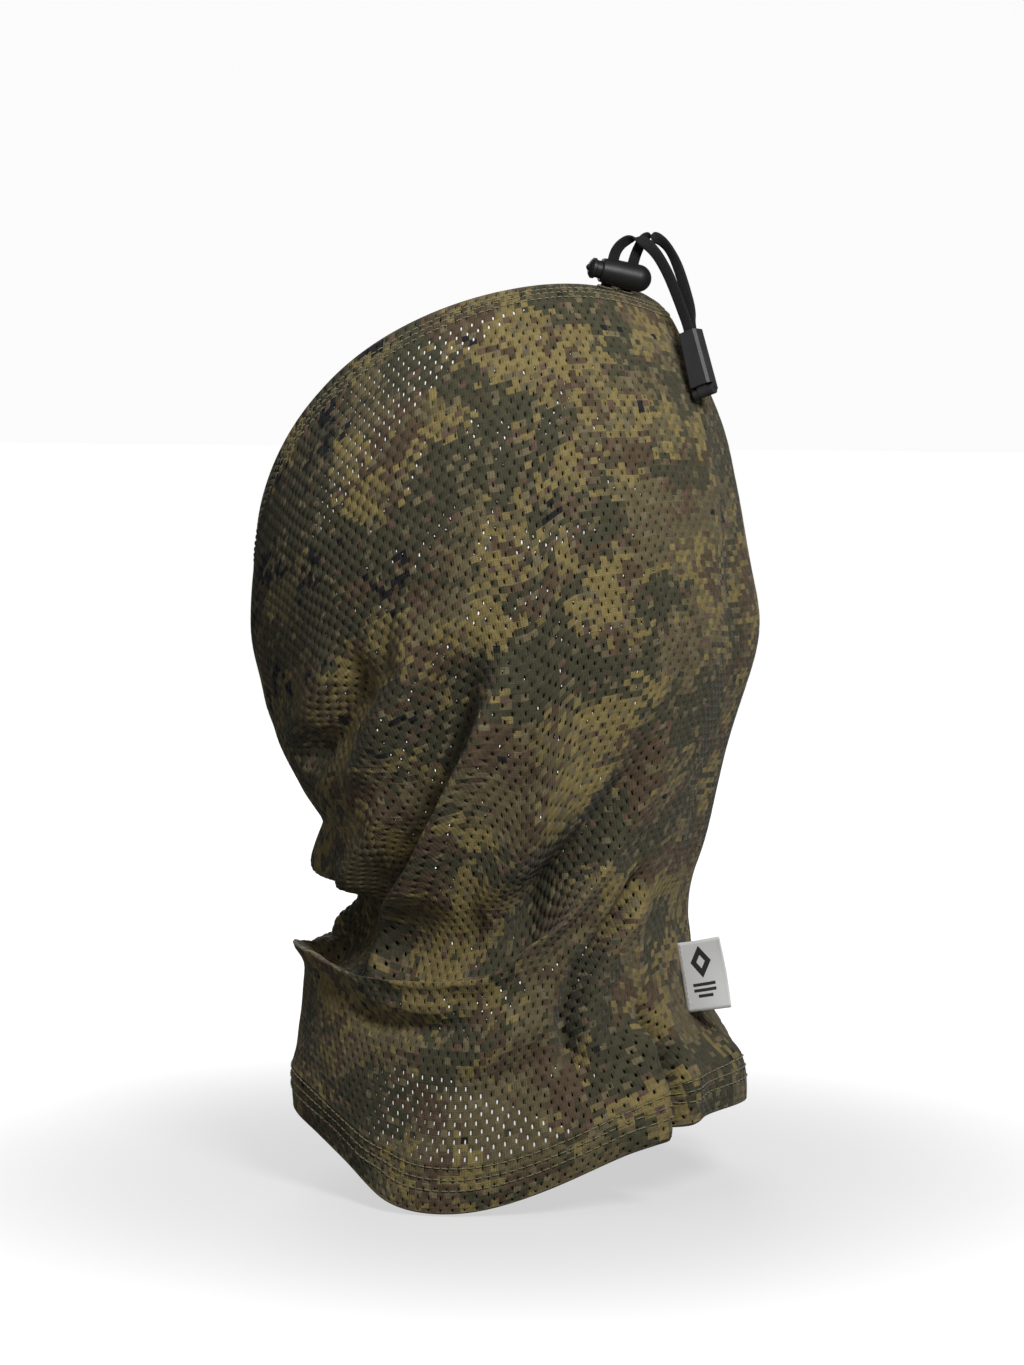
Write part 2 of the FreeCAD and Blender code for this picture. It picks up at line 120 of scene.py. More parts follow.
# ---------------------------------------------------------------- folds of the dress
# Fold lines are drawn on the near side as seen from the camera, in mm: across and up.
# Each is (line, profile, fade at its start, fade at its end); the profile's terms are
# (offset from the line, width, outwards, upwards, towards the back).
FOLDS = (
    # the sharp edge of the broad back panel, hanging over its deep valley
    ([(0.9, -29), (-2.7, -54), (-10.8, -81.5), (-21.5, -106.6), (-33, -130), (-48, -155.5),
      (-62, -176)], ((4, 5, 11, 0, -6), (14, 14, 4, 0, 0), (-8, 6, -16, 0, 0), (-19, 9, -9, 0, 0)),
     0.35, 0.06),
    ([(-35.8, -17), (-40.3, -53), (-56, -84), (-69.4, -111)],
     ((0, 8, 8, 0, 0), (-10, 6, -4, 0, 0)), 0.3, 0.3),
    ([(-42.6, -99), (-58, -126), (-70, -151)], ((0, 6.5, 7.5, 0, 0),), 0.3, 0.15),
    ([(-60, -35), (-64, -58), (-75.7, -77.5), (-87, -95)],
     ((0, 7, -12, 0, 0), (-13, 7, 4, 0, 0)), 0.3, 0.2),
    ([(-20, 20), (-24, -10), (-30, -50)], ((0, 14, 2.5, 0, 0),), 0.4, 0.4),
    # the long soft pulls of the back panel
    ([(20, -60), (10, -95), (-6, -128), (-22, -158)],
     ((0, 9, -4.5, 0, 0), (13, 8, 3.4, 0, 0)), 0.35, 0.15),
    ([(70, -62), (58, -95), (40, -122), (14, -152), (-6, -166)],
     ((0, 7, -12, 0, 0), (13, 8, 5, 0, 0)), 0.45, 0.2),
    # the lip of the lower roll, with the pocket behind it
    ([(-90, -170), (-77.5, -174), (-58, -181), (-39, -182.5), (-23, -182.5), (-7.6, -181),
      (7.6, -173), (23, -159), (39, -138), (49, -126), (58, -118)],
     ((0, 6.5, 9, 0, 0), (14, 9, -15, 0, 0), (24, 9, -5, 0, 0), (8, 5, 0, -15, 0)), 0.0, 0.30),
    ([(27, -184.6), (40, -160), (58, -126)], ((0, 7, 3.5, 0, 0),), 0.3, 0.3),
    ([(66, -132), (50.6, -159), (37, -180.5), (32, -200), (34, -215.5), (39, -236)],
     ((-2, 5, -14, 0, 0), (8, 7, 6.5, 0, -3)), 0.25, 0.35),
    ([(-70, -194), (-48.4, -203), (-25, -204), (-10, -199)],
     ((0, 4.5, -5, 0, 0), (8, 5, 4, 0, 0)), 0.3, 0.3),
    ([(-19, -229), (0, -210), (19, -196)], ((0, 8, 5, 0, 0), (-11, 7, -4.5, 0, 0)), 0.35, 0.35),
    ([(-52, -262), (-38, -238), (-20, -222)], ((0, 9, -3.5, 0, 0),), 0.0, 0.5),
    # the deep flute between the near lobe of the hem and its back lobe
    ([(58, -190), (66, -208), (73, -228), (76, -256)],
     ((1, 5, -20, 0, 0), (-10, 8, 8, 0, 4), (12, 8, 5, 0, 0)), 0.45, 0.0),
)
# Rings round the front, under the chin: z at the face, slope, width, outwards, upwards, and how far
# round they reach, in mm from the middle of the face.
ROLLS = (
    (-112, -0.10, 7, -5.0, 0, 95),
    (-128, -0.16, 8, 6.0, -3, 100),
    (-149, -0.12, 8, -7.0, 0, 110),
    (-60, -0.35, 12, 2.0, 0, 80),
)
ROUND = 600.0               # mm once round, as the folds count it


def view_axes():
    """The picture's right and the direction to the camera, level with the ground."""
    c, s = cos(AZIMUTH), sin(AZIMUTH)
    return np.array([c, s, 0.0]), np.array([s, -c, 0.0])


def to_surface(lines):
    """Each line's points as (mm from the middle of the face, z) on the near side."""
    right, toward = view_axes()
    uu, vv = np.meshgrid(np.linspace(0.46, 1.06, 260), np.linspace(0, LAST, 330))
    points = bare(uu, vv)
    facing = across(uu, vv) @ toward
    r = points @ right
    w = points[..., 2] - sin(ELEVATION) * (points @ toward)
    found = []
    for line in lines:
        put = []
        for lr, lw in line:
            miss = (r - lr) ** 2 + (w - lw) ** 2 + np.where(facing > -0.02, 0, 1e6)
            k = np.unravel_index(np.argmin(miss), miss.shape)
            put.append(((uu[k] - 0.5) * ROUND, points[k][2]))
        found.append(np.array(put))
    return found


SPOTS = to_surface([fold[0] for fold in FOLDS])


def along_line(h, z, line):
    """Signed distance from a line, positive to its right going down, and the share along it."""
    best = np.full(h.shape, 1e9)
    side, share = np.zeros(h.shape), np.zeros(h.shape)
    steps = np.linalg.norm(np.diff(line, axis=0), axis=1)
    gone = np.concatenate([[0], np.cumsum(steps)])
    for k, (a, b) in enumerate(zip(line, line[1:])):
        d = (b - a) / steps[k]
        along = (h - a[0]) * d[0] + (z - a[1]) * d[1]
        held = np.clip(along, 0, steps[k])
        off = np.hypot(h - a[0] - d[0] * held, z - a[1] - d[1] * held)
        sign = np.sign(-(h - a[0]) * d[1] + (z - a[1]) * d[0])
        nearer = off < best
        best = np.where(nearer, off, best)
        side = np.where(nearer, sign, side)
        share = np.where(nearer, (gone[k] + held) / gone[-1], share)
    return best * side, share


def folds(h, z):
    """The cloth's moves outwards, up and towards the back, at a distance round and a height."""
    out, up, on = np.zeros(h.shape), np.zeros(h.shape), np.zeros(h.shape)
    for (_, profile, fade_in, fade_out), line in zip(FOLDS, SPOTS):
        off, share = along_line(h, z, line)
        hold = np.ones(h.shape)
        if fade_in:
            hold = hold * smooth(share, 0, fade_in)
        if fade_out:
            hold = hold * smooth(1 - share, 0, fade_out)
        for centre, width, outward, upward, onward in profile:
            bell = np.exp(-((off - centre) / width) ** 2) * hold
            out += outward * bell
            up += upward * bell
            on += onward * bell
    for level, slope, width, outward, upward, reach in ROLLS:
        bell = np.exp(-((z - level - slope * h) / width) ** 2) * smooth(reach - h, 0, 0.7 * reach)
        out += outward * bell
        up += upward * bell
    return out, up, on


def ripple(u, v):
    """Small unevenness of hanging cloth."""
    return (0.7 * np.sin(2 * pi * (5 * u + 0.31 * v + 0.2)) * np.sin(0.9 * v + 1.3)
            + 0.45 * np.sin(2 * pi * (11 * u - 0.23 * v)) * np.sin(1.7 * v + 0.4)
            + 0.3 * np.sin(2 * pi * (17 * u + 0.5 * v + 0.6)) * np.sin(2.3 * v + 2.0))


def drape(u, v):
    """The cloth as it hangs: the worn surface with its folds."""
    u, v = np.broadcast_arrays(np.asarray(u, float), np.asarray(v, float))
    point, outward = bare(u, v), across(u, v)
    turn = (u - 0.5) % 1.0
    near = np.where(turn <= 0.5, 1.0, 0.0)
    h = np.where(near > 0, turn, 1 - turn) * ROUND
    z = point[..., 2]
    away = smooth(h, 0, 90)
    hold = smooth(ROUND / 2 - h, 0, 30) * smooth(v, 0.9, 2.2)
    here = folds(h, z)
    there = folds(h + 16 * away, z - 5 * away)
    out, up, on = (np.where(near > 0, a, b * (1 - 0.15 * away)) * hold
                   for a, b in zip(here, there))
    # the loose bulge beyond the seam
    beyond = (turn - 0.5 + 1.0) % 1.0
    beyond = np.where(beyond > 0.5, beyond - 1.0, beyond)
    out += 4.5 * np.exp(-((beyond - 0.045) / 0.045) ** 2) * np.exp(-((z + 26) / 34) ** 2)
    # the slight hollow that the seam is drawn into
    hollow = np.exp(-((beyond + 0.012) / 0.016) ** 2)
    out += -2.5 * hollow * smooth(v, 2.0, 3.5) * smooth(9.0 - v, 0, 2)
    out += ripple(u, v) * smooth(v, 1.0, 3.0)
    # gentle waves of the loose hem
    out += 2.6 * np.sin(2 * pi * (7 * u + 0.1)) * smooth(v, 9.5, 12)
    backward = unit(bare(u + NUDGE, v) - bare(u - NUDGE, v)) * np.where(near > 0, 1, -1)[..., None]
    moved = point + outward * out[..., None] + backward * on[..., None]
    moved[..., 2] += up
    return moved


# A table of the draped surface, read between its points, keeps the many points quick.
GRID_U, GRID_V = 720, 481
AT_U = np.arange(GRID_U) / GRID_U
AT_V = np.linspace(0, LAST, GRID_V)


def blurred(table, times):
    """The table with each point drawn towards its neighbours, the rim and the hem held."""
    for _ in range(times):
        mean = (np.roll(table, 1, 1) + np.roll(table, -1, 1)) / 4
        mean[1:-1] += (table[:-2] + table[2:]) / 4
        mean[0] = table[0]
        mean[-1] = table[-1]
        table = 0.5 * table + 0.5 * mean
    return table


TABLE = blurred(drape(AT_U[None, :], AT_V[:, None]), 3)


def between(table, down, around):
    """A table read between its points; going round, it closes on itself."""
    j = np.clip(np.floor(down).astype(int), 0, len(table) - 2)
    i = np.floor(around).astype(int)
    over, aside = down - j, around - i
    if table.ndim == 3:
        over, aside = over[..., None], aside[..., None]
    i, i2 = i % GRID_U, (i + 1) % GRID_U
    low = table[j, i] * (1 - aside) + table[j, i2] * aside
    high = table[j + 1, i] * (1 - aside) + table[j + 1, i2] * aside
    return low * (1 - over) + high * over


def on_table(u, v):
    """Where a place on the mask lies in the table: down it and across it."""
    u, v = np.broadcast_arrays(np.asarray(u, float), np.asarray(v, float))
    return np.clip(v / LAST, 0, 1) * (GRID_V - 1), (u % 1.0) * GRID_U


def cloth(u, v):
    """Points of the draped cloth."""
    return between(TABLE, *on_table(u, v))


NORMALS = across(AT_U[None, :], AT_V[:, None], cloth)


def cloth_normal(u, v):
    """Outward directions of the draped cloth."""
    down, around = on_table(u, v)
    return NORMALS[np.round(down).astype(int), np.round(around).astype(int) % GRID_U]


# ---------------------------------------------------------------- the sewn tube's own coordinates
COLS = 128                  # mesh holes once round
PITCH = 4.2                 # mm between them, in flat cloth
ROW = 3.3                   # mm between rows
CASING_ROWS, BODY_ROWS, HEM_ROWS = 4, 112, 6
BODY_END = CASING_ROWS + BODY_ROWS
ROWS = BODY_END + HEM_ROWS
HALF = COLS // 2

# how far the seam drifts from the middle of the back, from the rim down
DRIFT_V = (0, 1, 2, 3, 4, 5, 6, 12)
DRIFT_U = (-0.036, -0.036, -0.034, -0.030, -0.020, -0.010, -0.008, -0.008)


def place_u(a, v):
    """Place round the mask of a column of the cloth; the seam is column 0."""
    drift = np.interp(v, DRIFT_V, DRIFT_U)
    return a + drift * (0.5 + 0.5 * np.cos(2 * pi * a))


def level_table():
    """Level of each row at each place round, evenly spaced along the draped cloth."""
    # the casing has the first level to itself and the hem has the last one
    per_level = GRID_V // LAST
    first, last = per_level, (LAST - 1) * per_level
    steps = np.linalg.norm(np.diff(TABLE[first:last + 1], axis=0), axis=2)
    for _ in range(60):
        steps = (2 * steps + np.roll(steps, 1, 1) + np.roll(steps, -1, 1)) / 4
    length = np.concatenate([np.zeros((1, GRID_U)), np.cumsum(steps, axis=0)])
    body = [np.interp(np.linspace(0, run[-1], BODY_ROWS + 1), run, AT_V[first:last + 1])
            for run in length.T]
    casing = np.linspace(0, 1, CASING_ROWS + 1)[:-1, None].repeat(GRID_U, 1)
    hem = np.linspace(LAST - 1, LAST, HEM_ROWS + 1)[1:, None].repeat(GRID_U, 1)
    return np.concatenate([casing, np.array(body).T, hem])


LEVELS_OF_ROWS = level_table()


def place_v(row, a):
    """Level of a row of the cloth, at a column."""
    rough = LEVELS_OF_ROWS[np.clip(np.floor(row).astype(int), 0, ROWS - 1), GRID_U // 2]
    return between(LEVELS_OF_ROWS, row, (place_u(a, rough) % 1.0) * GRID_U)


def sewn(a, row, out=0.0):
    """Points of the cloth in metres, from its own coordinates and a distance outside it."""
    a, row, out = np.broadcast_arrays(np.asarray(a, float), np.asarray(row, float),
                                      np.asarray(out, float))
    v = place_v(row, a)
    u = place_u(a, v)
    return (cloth(u, v) + cloth_normal(u, v) * out[..., None]) * MM


# ---------------------------------------------------------------- meshes
def linked(name, data):
    """An object in the scene."""
    obj = bpy.data.objects.new(name, data)
    bpy.context.scene.collection.objects.link(obj)
    return obj


def new_mesh(name, points, faces, uv=None, material=None, body="mask"):
    """An object from arrays of points and faces, with an optional UV for each point."""
    mesh = bpy.data.meshes.new(name)
    points = np.asarray(points, float)
    sizes = np.array([len(f) for f in faces])
    loops = np.concatenate(faces)
    mesh.vertices.add(len(points))
    mesh.vertices.foreach_set("co", points.reshape(-1))
    mesh.loops.add(len(loops))
    mesh.loops.foreach_set("vertex_index", loops.astype(np.int32))
    mesh.polygons.add(len(sizes))
    starts = np.concatenate([[0], np.cumsum(sizes)[:-1]])
    mesh.polygons.foreach_set("loop_start", starts.astype(np.int32))
    mesh.polygons.foreach_set("loop_total", sizes.astype(np.int32))
    mesh.polygons.foreach_set("use_smooth", np.ones(len(sizes), bool))
    mesh.update(calc_edges=True)
    if uv is not None:
        layer = mesh.uv_layers.new(name="cloth")
        layer.data.foreach_set("uv", np.asarray(uv, float)[loops].reshape(-1))
    if material:
        mesh.materials.append(material)
    obj = linked(name, mesh)
    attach(obj, body)
    return obj


HOLE_HALF = 0.088           # half the hole's width, in pitches
HOLE_TALL = 0.36            # half its height, in rows
HOLE_SINK = 0.25            # mm that its edge turns inwards
HOLE_DEEP = 0.80            # mm from its edge to the inner side of the cloth
HOLE_TAPER = (1.0, 0.8)     # how wide it is at its edge and on the inner side
HOLE_RING = ((0, 1), (1, 0.5), (1, -0.5), (0, -1), (-1, -0.5), (-1, 0.5))


def lattice(row0, row1, col0, col1, out, closed_start, closed_end):
    """Points, faces and UVs of the mesh with its holes; out gives each row's distance outside."""
    end = 2 * (col1 - col0)
    wide, corners = end + 1, len(HOLE_RING)
    k, j = np.meshgrid(np.arange(wide + 1), np.arange(row0, row1 + 1))
    a = (2 * col0 + k) / (2 * COLS)
    rows = j.astype(float)
    flat_a, flat_row = a.reshape(-1), rows.reshape(-1)

    def corner(k, j):
        return (j - row0) * (wide + 1) + k

    quads, hole_a, hole_row = [], [], []
    base = len(flat_a)
    for j in range(row0, row1):
        odd = j % 2
        for i in range(col1 - col0):
            k0 = 2 * i + odd
            if k0 + 2 > end and closed_end:
                continue
            outer = [corner(k0 + 1, j), corner(k0 + 2, j), corner(k0 + 2, j + 1),
                     corner(k0 + 1, j + 1), corner(k0, j + 1), corner(k0, j)]
            ca = (2 * col0 + k0 + 1) / 2
            first = base + len(hole_a)
            for spread in HOLE_TAPER:
                for dx, dy in HOLE_RING:
                    hole_a.append((ca + dx * HOLE_HALF * spread) / COLS)
                    hole_row.append(j + 0.5 - dy * HOLE_TALL * spread)
            for n in range(corners):
                m = (n + 1) % corners
                quads.append((outer[n], first + n, first + m, outer[m]))
                quads.append((first + n, first + corners + n, first + corners + m, first + m))
        if odd and closed_start:
            quads.append((corner(0, j), corner(0, j + 1), corner(1, j + 1), corner(1, j)))
        if odd and closed_end:
            quads.append((corner(end - 1, j), corner(end - 1, j + 1),
                          corner(end, j + 1), corner(end, j)))
    all_a = np.concatenate([flat_a, hole_a])
    all_row = np.concatenate([flat_row, hole_row])
    edges = np.repeat([HOLE_SINK, HOLE_SINK + HOLE_DEEP], corners)
    sink = np.concatenate([np.zeros(base), np.tile(edges, len(hole_a) // len(edges))])
    points = sewn(all_a, all_row, out(all_row) - sink)
    uv = np.stack([all_a * COLS * PITCH * MM, all_row * ROW * MM], -1)
    quads = np.array(quads)
    used = np.unique(quads)
    renumber = np.full(len(points), -1)
    renumber[used] = np.arange(len(used))
    return points[used], renumber[quads], uv[used]


def grid(us, vs, point):
    """Points and quads of a plain grid; point takes two arrays."""
    uu, vv = np.meshgrid(us, vs)
    points = point(uu.reshape(-1), vv.reshape(-1))
    wide, faces = len(us), []
    for j in range(len(vs) - 1):
        for i in range(wide - 1):
            faces.append((j * wide + i, (j + 1) * wide + i,
                          (j + 1) * wide + i + 1, j * wide + i + 1))
    return points, np.array(faces), uu.reshape(-1), vv.reshape(-1)


def travelled(path):
    """Length from a path's start to each of its points."""
    return np.concatenate([[0], np.cumsum(np.linalg.norm(np.diff(path, axis=0), axis=1))])


def skin(rings, sides, count):
    """Faces of a closed tube: so many rings, sides round it, and points in each ring."""
    faces = []
    for j in range(rings - 1):
        here, there = j * count, (j + 1) * count
        for i in range(sides):
            i2 = (i + 1) % count
            faces.append((here + i, here + i2, there + i2, there + i))
    faces.append(tuple(range(sides))[::-1])
    faces.append(tuple((rings - 1) * count + i for i in range(sides)))
    return faces


# ---------------------------------------------------------------- materials
def material(name):
    """A new material, its nodes and its shader."""
    mat = bpy.data.materials.new(name)
    mat.use_nodes = True
    tree = mat.node_tree
    return mat, tree, tree.nodes["Principled BSDF"]


def node(tree, kind, inputs=None, **settings):
    """A node with its settings and its inputs; an input is a value or another node's output."""
    made = tree.nodes.new(kind)
    for key, value in settings.items():
        setattr(made, key, value)
    for key, value in (inputs or {}).items():
        if isinstance(value, bpy.types.NodeSocket):
            tree.links.new(value, made.inputs[key])
        else:
            made.inputs[key].default_value = value
    return made


def maths(tree, operation, *values, clamp=False):
    """The outcome of a sum on values or outputs."""
    made = node(tree, "ShaderNodeMath", dict(enumerate(values)), operation=operation)
    made.use_clamp = clamp
    return made.outputs[0]


def times(tree, a, b):
    return maths(tree, "MULTIPLY", a, b)


def plus(tree, a, b):
    return maths(tree, "ADD", a, b)


def minus(tree, a, b, clamp=False):
    return maths(tree, "SUBTRACT", a, b, clamp=clamp)


def away_from(tree, value, centre):
    """How far a value is from another, on either side."""
    return maths(tree, "ABSOLUTE", minus(tree, value, centre))


def mixed(tree, share, a, b):
    """A colour between two, by a share."""
    made = node(tree, "ShaderNodeMix", {0: share, 6: a, 7: b}, data_type="RGBA")
    return made.outputs[2]


def cloth_uv(tree):
    return node(tree, "ShaderNodeUVMap", uv_map="cloth").outputs[0]


def own_place(tree):
    return node(tree, "ShaderNodeTexCoord").outputs["Object"]


def split(tree, vector):
    """The first two numbers of a vector."""
    made = node(tree, "ShaderNodeSeparateXYZ", {0: vector})
    return made.outputs[0], made.outputs[1]


def noise(tree, vector, scale, detail, **settings):
    return node(tree, "ShaderNodeTexNoise", {"Vector": vector, "Scale": scale, "Detail": detail},
                **settings).outputs["Fac"]


def wave(tree, vector, scale, distortion, direction):
    return node(tree, "ShaderNodeTexWave",
                {"Vector": vector, "Scale": scale, "Distortion": distortion},
                wave_type="BANDS", bands_direction=direction).outputs["Fac"]


def bump(tree, shader, height, strength, distance):
    """Fine relief on the shader; the distance is in metres."""
    made = node(tree, "ShaderNodeBump",
                {"Height": height, "Strength": strength, "Distance": distance})
    tree.links.new(made.outputs[0], shader.inputs["Normal"])


def rgb(r, g, b):
    return (r, g, b, 1.0)


OLIVE, BROWN = rgb(.190, .148, .056), rgb(.082, .056, .031)
GREEN, BLACK = rgb(.054, .050, .027), rgb(.010, .009, .011)
KHAKI = rgb(.112, .091, .045)
RUST_FLECK, PALE_FLECK = rgb(.092, .060, .040), rgb(.135, .112, .062)
BLOCK = 0.0027              # metres across one block of the print


def camo_material():
    """Printed pixel camouflage on a matt polyester mesh."""
    mat, tree, shader = material("camo_mesh")
    uv = cloth_uv(tree)
    block = node(tree, "ShaderNodeVectorMath", {0: uv, 1: (BLOCK, BLOCK, 1)},
                 operation="SNAP").outputs[0]

    def moved(offset):
        return node(tree, "ShaderNodeVectorMath", {0: block, 1: offset},
                    operation="ADD").outputs[0]

    def own_number(vector):
        """A number that belongs to the one block."""
        return node(tree, "ShaderNodeTexWhiteNoise", {"Vector": vector},
                    noise_dimensions="2D").outputs["Value"]

    def patches(scale, offset, ragged):
        """Noise of a size in patches to the metre, ragged by each block's own number."""
        there = moved(offset)
        soft = node(tree, "ShaderNodeTexNoise",
                    {"Vector": there, "Scale": scale, "Detail": 2.5, "Roughness": 0.55},
                    noise_dimensions="2D").outputs["Fac"]
        return plus(tree, soft, times(tree, minus(tree, own_number(there), 0.5), ragged))

    def above(value, threshold):
        return maths(tree, "GREATER_THAN", value, threshold)

    # darker towards the face, near the rim
    x, y = split(tree, block)
    from_face = maths(tree, "DIVIDE", away_from(tree, x, 0.33), 0.13)
    from_rim = maths(tree, "DIVIDE", y, 0.20)
    dark = times(tree, minus(tree, 1.0, from_face, clamp=True),
                 minus(tree, 1.0, from_rim, clamp=True))
    green = patches(24.0, (0.37, 0.11, 0), 0.14)
    brown = patches(34.0, (1.70, 0.63, 0), 0.17)
    black = patches(46.0, (2.90, 2.20, 0), 0.13)
    khaki = patches(19.0, (4.10, 1.30, 0), 0.16)
    green_at = minus(tree, 0.53, times(tree, dark, 0.10))
    black_at = minus(tree, 0.76, times(tree, dark, 0.20))
    # small blocks of two more colours over all
    fleck, other = own_number(block), own_number(moved((5.0, 3.0, 0)))
    colour = OLIVE
    for value, threshold, over in (
            (khaki, 0.525, KHAKI), (brown, 0.565, BROWN), (green, green_at, GREEN),
            (black, black_at, BLACK), (fleck, 0.945, RUST_FLECK), (other, 0.90, PALE_FLECK)):
        colour = mixed(tree, above(value, threshold), colour, over)
    # each block a little lighter or darker, and the knit over it
    shade = plus(tree, 0.82, times(tree, fleck, 0.36))
    fibre = noise(tree, uv, 1900.0, 2.0, noise_dimensions="2D")
    shade = times(tree, shade, plus(tree, 0.72, times(tree, fibre, 0.56)))
    tinted = node(tree, "ShaderNodeVectorMath", {0: colour, "Scale": shade},
                  operation="SCALE").outputs[0]
    tree.links.new(tinted, shader.inputs["Base Color"])
    # fine upright ribs of the knit, crossed by its courses
    ribs = wave(tree, uv, 330.0, 1.2, "X")
    courses = wave(tree, uv, 420.0, 2.0, "Y")
    height = plus(tree, times(tree, ribs, 0.6), times(tree, courses, 0.35))
    bump(tree, shader, plus(tree, height, times(tree, fibre, 0.5)), 0.5, 0.00035)
    shader.inputs["Roughness"].default_value = 0.82
    shader.inputs["Specular IOR Level"].default_value = 0.25
    shader.inputs["Sheen Weight"].default_value = 0.10
    shader.inputs["Sheen Roughness"].default_value = 0.5
    return mat


def thread_material(name, colour):
    """Twisted sewing thread."""
    mat, tree, shader = material(name)
    place = own_place(tree)
    patchy = noise(tree, place, 900.0, 3.0)
    twist = wave(tree, place, 900.0, 3.0, "DIAGONAL")
    dim = rgb(*(c * 0.55 for c in colour[:3]))
    tree.links.new(mixed(tree, patchy, dim, colour), shader.inputs["Base Color"])
    bump(tree, shader, twist, 0.5, 0.0001)
    shader.inputs["Roughness"].default_value = 0.75
    shader.inputs["Sheen Weight"].default_value = 0.2
    return mat


def braid_material():
    """Flat black braid: two sets of strands crossing, from UVs in metres along and round it."""
    mat, tree, shader = material("cord_braid")
    uv = cloth_uv(tree)
    x, y = split(tree, uv)

    def strands(sign):
        slope = plus(tree, times(tree, x, 1900.0), times(tree, y, sign * 3100.0))
        return maths(tree, "ABSOLUTE", maths(tree, "SINE", slope))

    height = maths(tree, "MAXIMUM", strands(1), strands(-1))
    fibre = noise(tree, uv, 3500.0, 2.0, noise_dimensions="2D")
    colour = mixed(tree, times(tree, height, fibre), rgb(.003, .003, .004), rgb(.020, .020, .021))
    tree.links.new(colour, shader.inputs["Base Color"])
    bump(tree, shader, plus(tree, height, times(tree, fibre, 0.4)), 0.8, 0.0003)
    shader.inputs["Roughness"].default_value = 0.72
    shader.inputs["Specular IOR Level"].default_value = 0.25
    shader.inputs["Sheen Weight"].default_value = 0.06
    return mat


def plastic_material(name, colour, rough, grain):
    """Moulded plastic with a fine grain and slight unevenness of gloss."""
    mat, tree, shader = material(name)
    place = own_place(tree)
    fine = noise(tree, place, grain, 4.0)
    broad = noise(tree, place, 160.0, 2.0)
    lift = rgb(*(c * 1.5 for c in colour[:3]))
    tree.links.new(mixed(tree, broad, colour, lift), shader.inputs["Base Color"])
    gloss = plus(tree, rough - 0.08, times(tree, fine, 0.16))
    tree.links.new(gloss, shader.inputs["Roughness"])
    shader.inputs["Specular IOR Level"].default_value = 0.32
    bump(tree, shader, fine, 0.25, 0.0001)
    return mat


def steel_material():
    """Drawn spring wire, unevenly bright."""
    mat, tree, shader = material("spring_steel")
    patchy = noise(tree, own_place(tree), 1500.0, 3.0)
    colour = mixed(tree, patchy, rgb(.30, .30, .31), rgb(.58, .58, .60))
    tree.links.new(colour, shader.inputs["Base Color"])
    shader.inputs["Metallic"].default_value = 1.0
    shader.inputs["Roughness"].default_value = 0.32
    return mat


def label_material():
    """White satin weave with a plain printed lozenge and bars. UVs are in metres on the tab."""
    mat, tree, shader = material("label_weave")
    uv = cloth_uv(tree)
    x, y = split(tree, uv)
    middle, lozenge_y = 0.0100, 0.0215

    def within(value, centre, half):
        return maths(tree, "LESS_THAN", away_from(tree, value, centre), half)

    def lozenge(rx, ry):
        dx = maths(tree, "DIVIDE", away_from(tree, x, middle), rx)
        dy = maths(tree, "DIVIDE", away_from(tree, y, lozenge_y), ry)
        return maths(tree, "LESS_THAN", plus(tree, dx, dy), 1.0)

    ink = times(tree, lozenge(0.0048, 0.0072), minus(tree, 1.0, lozenge(0.0020, 0.0030)))
    for cy, half in ((0.0115, 0.0052), (0.0090, 0.0052), (0.0065, 0.0034)):
        bar = times(tree, within(x, middle, half), within(y, cy, 0.0007))
        ink = maths(tree, "MAXIMUM", ink, bar)
    weave = wave(tree, uv, 900.0, 0.6, "Y")
    warp = wave(tree, uv, 700.0, 0.6, "X")
    ground = mixed(tree, weave, rgb(.66, .66, .65), rgb(.80, .80, .79))
    tree.links.new(mixed(tree, ink, ground, rgb(.022, .020, .020)), shader.inputs["Base Color"])
    bump(tree, shader, plus(tree, weave, times(tree, warp, 0.6)), 0.4, 0.0001)
    shader.inputs["Roughness"].default_value = 0.5
    shader.inputs["Sheen Weight"].default_value = 0.15
    return mat


CAMO = camo_material()
THREAD = thread_material("thread", rgb(.260, .240, .130))
LABEL_THREAD = thread_material("label_thread", rgb(.72, .72, .70))
BRAID = braid_material()
LOCK_PLASTIC = plastic_material("lock_plastic", rgb(.009, .009, .009), 0.46, 1400.0)
CLIP_PLASTIC = plastic_material("clip_plastic", rgb(.026, .026, .027), 0.50, 1700.0)
STEEL = steel_material()
LABEL = label_material()


# ---------------------------------------------------------------- cloth pieces
def casing_out(row):
    """The casing's outer layer stands off over the drawcord."""
    s = row / CASING_ROWS
    return 0.5 + 1.5 * np.exp(-((s - 0.30) / 0.22) ** 2)


def hem_out(row):
    """The hem swells a little towards its turned edge."""
    return 0.5 + 0.35 * smooth(row, BODY_END, ROWS - 1)


def body_out(row):
    """The single layer comes out to meet the casing and the hem."""
    low = smooth(row, BODY_END - 2, BODY_END)
    return 0.5 * low + 0.5 * smooth(CASING_ROWS + 2 - row, 0, 2)


def cloth_piece(name, row0, row1, col0, col1, out, closed_start=True, closed_end=True):
    points, faces, uv = lattice(row0, row1, col0, col1, out, closed_start, closed_end)
    return new_mesh(name, points, faces, uv, CAMO)


far_half = cloth_piece("mesh_far_half", CASING_ROWS, BODY_END, 0, HALF, body_out, True, False)
near_half = cloth_piece("mesh_near_half", CASING_ROWS, BODY_END, HALF, COLS, body_out, False, True)
casing = cloth_piece("casing_outer", 0, CASING_ROWS, 0, COLS, casing_out)
hem = cloth_piece("hem_outer", BODY_END, ROWS, 0, COLS, hem_out)


